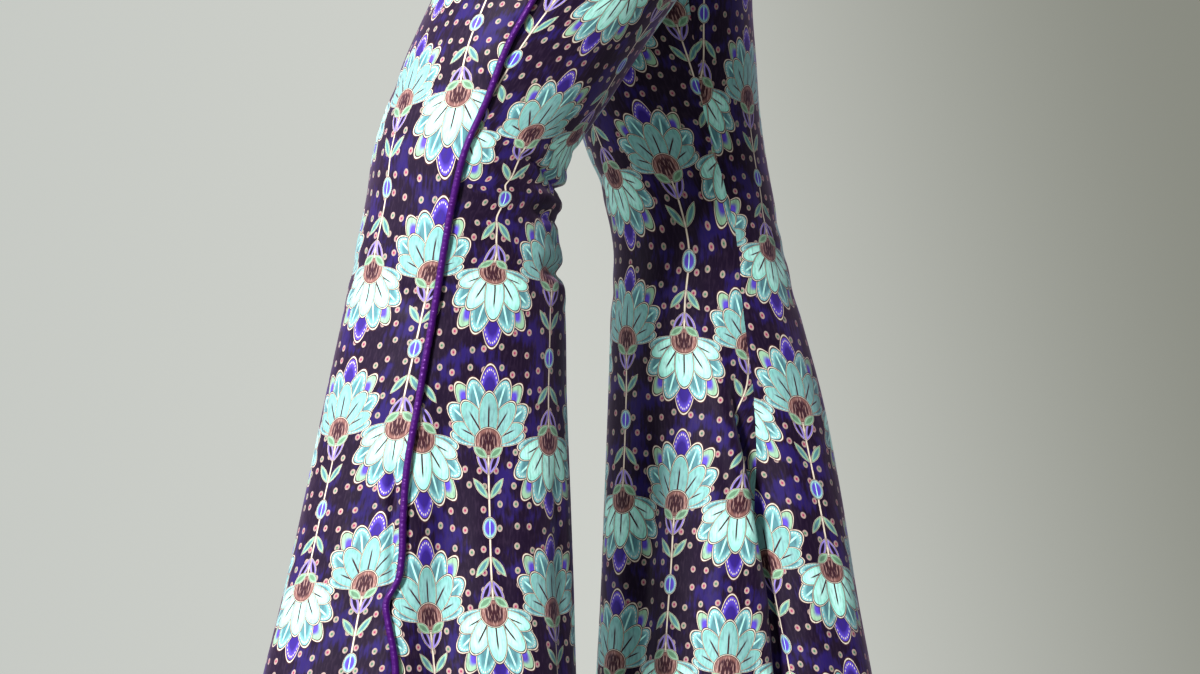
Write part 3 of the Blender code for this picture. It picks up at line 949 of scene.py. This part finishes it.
def flat_layout(points):
    """The flat cut: across and up for each point of rows by columns, with rows from top to bottom."""
    middle = points.shape[1] // 2
    runs = np.linalg.norm(np.diff(points, axis=1), axis=2)
    across = np.concatenate((np.zeros((len(points), 1)), np.cumsum(runs, axis=1)), axis=1)
    across -= across[:, middle : middle + 1]
    line = points[:, middle]
    drop = np.concatenate(([0.0], np.cumsum(np.linalg.norm(np.diff(line, axis=0), axis=1))))
    row_way = unit(points[:, middle + ROW_REACH] - points[:, middle - ROW_REACH])
    line_way = unit(np.gradient(line, axis=0))
    lean = -(row_way * line_way).sum(axis=1)
    level = np.sqrt(1.0 - lean**2)
    kernel = np.ones(LEAN_ROWS) / LEAN_ROWS
    lean = np.convolve(np.pad(lean, LEAN_ROWS // 2, mode="edge"), kernel, mode="valid")
    level = np.convolve(np.pad(level, LEAN_ROWS // 2, mode="edge"), kernel, mode="valid")
    return across * level[:, None], across * lean[:, None] - drop[:, None]


def thicken(sheet, wall):
    """Give the sheet its thickness, with the wrong side in the second material."""
    thickness = sheet.modifiers.new("thickness", "SOLIDIFY")
    thickness.thickness = wall
    thickness.offset = 0.0
    thickness.material_offset = 1
    thickness.material_offset_rim = 0
    bpy.ops.object.modifier_apply(modifier=thickness.name)
    bpy.ops.object.shade_smooth_by_angle(angle=SMOOTH_ANGLE)


def edit_all_points():
    """Go into edit mode with every point selected."""
    bpy.ops.object.mode_set(mode="EDIT")
    bpy.ops.mesh.select_all(action="SELECT")


def own_faces(sheet, towards):
    """Turn the faces so that they look outward at their first corner."""
    face = sheet.data.polygons[len(sheet.data.polygons) // 2]
    outward = towards[face.vertices[0]]
    if face.normal @ bpy_vector(outward) < 0.0:
        edit_all_points()
        bpy.ops.mesh.flip_normals()
        bpy.ops.object.mode_set(mode="OBJECT")


def bpy_vector(values):
    return Vector([float(value) for value in values])


def make_panel(leg, part, shift):
    name = leg.name + "_" + part
    sheet, places = grid_object(name + "_cloth", GRID_COLUMNS, GRID_ROWS)
    columns = len(np.unique(np.round(places[:, 0], 6)))
    rows = len(places) // columns
    share = (places[:, 0] + 1.0) / 2.0
    share = share - EDGE_CLOSENESS / (2.0 * math.pi) * np.sin(2.0 * math.pi * share)
    turn = share - 1.0 if part == "front" else share
    height = rows_to_heights((1.0 - places[:, 1]) / 2.0)
    points, normals, _ = frame_at(leg, height, angle_at(height, turn) + stray(leg, height, turn))
    push = crease_push(leg, own_creases(leg), points, False) + crease_push(leg, HIP_CREASES, points, True)

    by_rows = points.reshape(rows, columns, 3)
    runs = np.linalg.norm(np.diff(by_rows, axis=1), axis=2)
    from_first = np.concatenate((np.zeros((rows, 1)), np.cumsum(runs, axis=1)), axis=1)
    to_edge = np.minimum(from_first, from_first[:, -1:] - from_first).reshape(-1)
    push -= SEAM_ROLL * np.exp(-((to_edge / SEAM_ROLL_WIDTH) ** 2))
    ripple = drifting_wave(height, 290.0, 2.0, 61.0) + 0.6 * np.sin(height * 173.0 + 1.0)
    push += PUCKER * ripple * np.exp(-((to_edge / PUCKER_WIDTH) ** 2))
    points = points + normals * push[:, None]
    set_points(sheet, points)

    laid = points.reshape(rows, columns, 3)[::-1]
    across, up = flat_layout(laid)
    across = across[::-1].reshape(-1)
    up = up[::-1].reshape(-1)
    layer = sheet.data.uv_layers.new(name="flat")
    for loop in sheet.data.loops:
        layer.data[loop.index].uv = (across[loop.vertex_index], up[loop.vertex_index])
    own_faces(sheet, normals)
    sheet.data.materials.append(jersey(name + "_jersey", shift))
    sheet.data.materials.append(WRONG_SIDE)
    thicken(sheet, CLOTH_WALL)

    width = float(across.max() - across.min())
    length = float(up.max() - up.min())
    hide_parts(name)
    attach(sheet, "root")
    return sheet


PRINT_SHIFTS = {
    "left_front": (0.0, 0.0),
    "left_back": (2.0, 5.0),
    "right_front": (1.0, 3.0),
    "right_back": (3.0, 8.0),
}
for leg in (LEFT, RIGHT):
    for part in ("front", "back"):
        make_panel(leg, part, PRINT_SHIFTS[leg.name + "_" + part])

# %% [markdown]
# ## Waistband
#
# The band goes all the way round in one piece. Its grid's two ends meet at the front centre and are merged,
# which a sewer would do with a short seam.

# %% Waistband
BAND_GRID_ROUND = 200
BAND_GRID_UP = 16
BAND_SWELL = 0.0006
BAND_MERGE = 0.0004


def make_waistband():
    sheet, places = grid_object("waistband_cloth", BAND_GRID_ROUND, BAND_GRID_UP)
    round_it = places[:, 0]
    height = -BAND_HEIGHT * (1.0 - (places[:, 1] + 1.0) / 2.0)
    on_left = round_it <= 0.0
    turn = np.where(on_left, 2.0 * round_it + 1.0, 1.0 - 2.0 * round_it)
    points = np.zeros((len(places), 3))
    normals = np.zeros((len(places), 3))
    for leg, which in ((LEFT, on_left), (RIGHT, ~on_left)):
        angle = angle_at(height[which], turn[which])
        points[which], normals[which], _ = frame_at(leg, height[which], angle)
    swell = BAND_SWELL * np.sin(math.pi * np.clip(-height / BAND_HEIGHT, 0.0, 1.0)) - BAND_SWELL
    set_points(sheet, points + normals * swell[:, None])
    layer = sheet.data.uv_layers.new(name="flat")
    girth = 0.683
    for loop in sheet.data.loops:
        layer.data[loop.index].uv = (round_it[loop.vertex_index] * girth / 2.0, height[loop.vertex_index])
    own_faces(sheet, normals)
    edit_all_points()
    bpy.ops.mesh.remove_doubles(threshold=BAND_MERGE)
    bpy.ops.object.mode_set(mode="OBJECT")
    sheet.data.materials.append(jersey("waistband_jersey", (0.0, 0.4)))
    sheet.data.materials.append(WRONG_SIDE)
    thicken(sheet, BAND_WALL)
    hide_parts("waistband")
    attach(sheet, "root")
    return sheet


waistband = make_waistband()
print("Waistband faces:", len(waistband.data.polygons))

# %% [markdown]
# ## Piping
#
# The piping is a satin strip folded round a thin cord and caught in the side seam. A tube follows the seam,
# and its own UV layer runs along it, so the fine wrinkles of the satin lie across the cord.

# %% Piping
PIPING_RADIUS = 0.0024
PIPING_FULLEST = 1.10
LONG_PINCH = 0.025
SHORT_PINCH = 0.02
PIPING_MERGE = 0.00005
PIPING_SIDES = 12
PIPING_RINGS = 1600


def make_piping(leg):
    sheet, places = grid_object(leg.name + "_piping_cord", PIPING_SIDES, PIPING_RINGS)
    top = -BAND_HEIGHT - SEAM_GAP - BAND_WALL
    height = top + (HEM + SEAM_GAP - top) * (1.0 - places[:, 1]) / 2.0
    seam, normals, across = frame_at(leg, height, stray(leg, height, np.zeros_like(height)))
    seam = seam + normals * crease_push(leg, own_creases(leg), seam, False)[:, None]
    around = places[:, 0] * math.pi
    pinch = PIPING_FULLEST - LONG_PINCH * (1.0 + drifting_wave(height, 900.0, 3.0, 140.0))
    pinch = pinch - SHORT_PINCH * (1.0 + drifting_wave(height, 2300.0, 2.0, 310.0))
    radius = (PIPING_RADIUS * pinch)[:, None]
    middle = seam + normals * (CLOTH_WALL / 2.0 + SEAM_GAP + PIPING_RADIUS)
    points = middle + radius * (normals * np.cos(around)[:, None] + across * np.sin(around)[:, None])
    set_points(sheet, points)
    layer = sheet.data.uv_layers.new(name="along")
    for loop in sheet.data.loops:
        point = loop.vertex_index
        layer.data[loop.index].uv = (places[point, 0], height[point])
    edit_all_points()
    bpy.ops.mesh.remove_doubles(threshold=PIPING_MERGE)
    bpy.ops.mesh.select_all(action="DESELECT")
    bpy.ops.mesh.select_non_manifold()
    bpy.ops.mesh.edge_face_add()
    bpy.ops.mesh.select_all(action="SELECT")
    bpy.ops.mesh.normals_make_consistent(inside=False)
    bpy.ops.object.mode_set(mode="OBJECT")
    bpy.ops.object.shade_smooth_by_angle(angle=SMOOTH_ANGLE)
    sheet.data.materials.append(SATIN)
    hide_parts(leg.name + "_piping")
    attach(sheet, "root")
    return sheet


for leg in (LEFT, RIGHT):
    print(make_piping(leg).name)

# %% [markdown]
# ## Hem stitches
#
# A stretch hem is turned up and sewn with a twin needle, which leaves two rows of short stitches outside.
# Each row is one long thread. It rises above the cloth for a stitch and dips under it between two, as sewing
# does, so a single thin tube whose distance from the cloth goes up and down makes the whole row.

# %% Hem stitches
THREAD_RADIUS = 0.00035
THREAD_MERGE = 0.00002
STITCH_MIDDLE = 0.1
STITCH_RISE = 1.6
HEM_SAMPLES = 801
THREAD_SIDES = 5
RINGS_A_STITCH = 6
STITCH_STEP = 0.0032
STITCH_ROWS = (0.018, 0.024)


def make_thread(leg, above_hem):
    """One row of stitches round a hem."""
    level = HEM + above_hem
    turn = np.linspace(-1.0, 1.0, HEM_SAMPLES)
    levels = np.full(HEM_SAMPLES, level)
    line = cloth(leg, levels, angle_at(levels, turn))
    length = np.concatenate(([0.0], np.cumsum(np.linalg.norm(np.diff(line, axis=0), axis=1))))
    stitches = round(length[-1] / STITCH_STEP)
    name = "%s_hem_thread_%d" % (leg.name, above_hem * 1000)
    sheet, places = grid_object(name, THREAD_SIDES, stitches * RINGS_A_STITCH)
    share = (places[:, 1] + 1.0) / 2.0
    turn = np.interp(share * length[-1], length, turn)
    height = np.full(len(places), level)
    seam, normals, _ = frame_at(leg, height, angle_at(height, turn))
    seam = seam + normals * crease_push(leg, own_creases(leg), seam, False)[:, None]
    wave = STITCH_MIDDLE - STITCH_RISE * np.cos(share * stitches * 2.0 * math.pi)
    lift = CLOTH_WALL / 2.0 + THREAD_RADIUS * wave
    around = places[:, 0] * math.pi
    middle = seam + normals * lift[:, None]
    upward = np.array((0.0, 0.0, 1.0))
    ring = normals * np.cos(around)[:, None] + upward * np.sin(around)[:, None]
    set_points(sheet, middle + ring * THREAD_RADIUS)
    edit_all_points()
    bpy.ops.mesh.remove_doubles(threshold=THREAD_MERGE)
    bpy.ops.mesh.normals_make_consistent(inside=False)
    bpy.ops.object.mode_set(mode="OBJECT")
    bpy.ops.object.shade_smooth()
    sheet.data.materials.append(THREAD)
    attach(sheet, "root")
    return stitches


for leg in (LEFT, RIGHT):
    for above_hem in STITCH_ROWS:
        print(leg.name, "hem row:", make_thread(leg, above_hem), "stitches")

# %% [markdown]
# ## Room and light
#
# A pale floor and a grey backdrop stand in for the studio. The backdrop glows with its own painted light,
# which is painted darker to the right and upward, as a wall is away from its lamp. It is clear from behind,
# so the back of the garment can be seen too.
# The key light stands to the left of the camera and high up, so the near thigh shades the far one. A wide
# soft light from the left gives the pale sheen on the left edges. A weak light behind the garment keeps its
# back readable, and the pale room fills the shadows.

# %% Stage
BACKDROP_LEFT = (0.496, 0.512, 0.486, 1.0)
BACKDROP_PALE = (0.540, 0.552, 0.520, 1.0)
BACKDROP_PAINTED_SHADE = (0.240, 0.245, 0.214, 1.0)
BACKDROP_UP = 2.63
BACKDROP_SLANT = 0.30
BACKDROP_ASIDE = 2.2
BACKDROP_SIZE = 6
FLOOR_GREY = (0.29, 0.29, 0.28, 1.0)
FLOOR_SIZE = 16
FLOOR_GAP = 0.0006
ROOM_COLOUR = (0.80, 0.82, 0.84, 1.0)
ROOM_STRENGTH = 0.32
KNEES = np.array((0.0, 0.0, -0.6))


def glowing_backdrop_material():
    """Glowing grey, painted darker to the right and upward as light falls off, and nothing at all from
    behind.
    """
    material, tree, shader = new_material("backdrop_painted_glow", 0.9, Base_Color=(0.0, 0.0, 0.0, 1.0))
    # The backdrop's brightness is painted into its glow; the lamps do not light it.
    shader.inputs["Emission Strength"].default_value = 1.0
    shader.inputs["Specular IOR Level"].default_value = 0.0
    source = tree.nodes.new("ShaderNodeTexCoord")
    right, up = split_xyz(Field(tree, source.outputs["Object"]))
    # Painted light: the glow fades to painted shade towards the right and the top.
    painted_falloff = remap(right + (up + BACKDROP_UP) * BACKDROP_SLANT, -0.10, 0.62)
    left_side = remap(right, -0.75, 0.05)
    pale = blend(left_side, BACKDROP_LEFT, BACKDROP_PALE)
    colour = blend(painted_falloff, pale, BACKDROP_PAINTED_SHADE)
    tree.links.new(colour.socket, shader.inputs["Emission Color"])
    geometry = tree.nodes.new("ShaderNodeNewGeometry")
    clear = tree.nodes.new("ShaderNodeBsdfTransparent")
    mix = tree.nodes.new("ShaderNodeMixShader")
    tree.links.new(geometry.outputs["Backfacing"], mix.inputs["Fac"])
    tree.links.new(shader.outputs[0], mix.inputs[1])
    tree.links.new(clear.outputs[0], mix.inputs[2])
    tree.links.new(mix.outputs[0], tree.nodes["Material Output"].inputs["Surface"])
    return material


floor_height = HEM - FLOOR_GAP
bpy.ops.mesh.primitive_plane_add(size=FLOOR_SIZE, location=(0.0, 0.0, floor_height))
floor = bpy.context.object
floor.name = "floor"
floor.data.materials.append(new_material("pale_floor", 0.9, Base_Color=FLOOR_GREY)[0])
wall_place = -ASIDE * BACKDROP_ASIDE
wall_place[2] = floor_height + BACKDROP_SIZE / 2.0
bpy.ops.mesh.primitive_plane_add(size=BACKDROP_SIZE, location=wall_place)
wall = bpy.context.object
wall.name = "backdrop"
wall.rotation_euler = (math.radians(90), 0.0, math.radians(90) - STRIDE_TURN)
wall.data.materials.append(glowing_backdrop_material())


def area_light(name, along, aside, height, power, size, colour):
    """A soft light at a place in the picture's frame, turned towards the knees."""
    place = ALONG * along + ASIDE * aside + np.array((0.0, 0.0, height))
    bpy.ops.object.light_add(type="AREA", location=place)
    light = bpy.context.object
    light.name = name
    light.data.energy = power
    light.data.size = size
    light.data.color = colour
    aim_at = bpy_vector(KNEES - place)
    light.rotation_euler = aim_at.to_track_quat("-Z", "Y").to_euler()
    return light


area_light("key", -1.9, 3.2, 1.3, 300, 0.7, (1.0, 0.99, 0.97))
area_light("side", -2.6, 0.5, 0.2, 30, 2.0, (1.0, 1.0, 1.0))
area_light("back", 0.8, -2.0, 1.3, 50, 1.6, (1.0, 1.0, 1.0))
world = bpy.data.worlds.new("soft_room")
world.use_nodes = True
world.node_tree.nodes["Background"].inputs["Color"].default_value = ROOM_COLOUR
world.node_tree.nodes["Background"].inputs["Strength"].default_value = ROOM_STRENGTH
bpy.context.scene.world = world
bpy.context.scene.view_settings.view_transform = "Standard"
bpy.context.scene.view_settings.look = "Medium High Contrast"
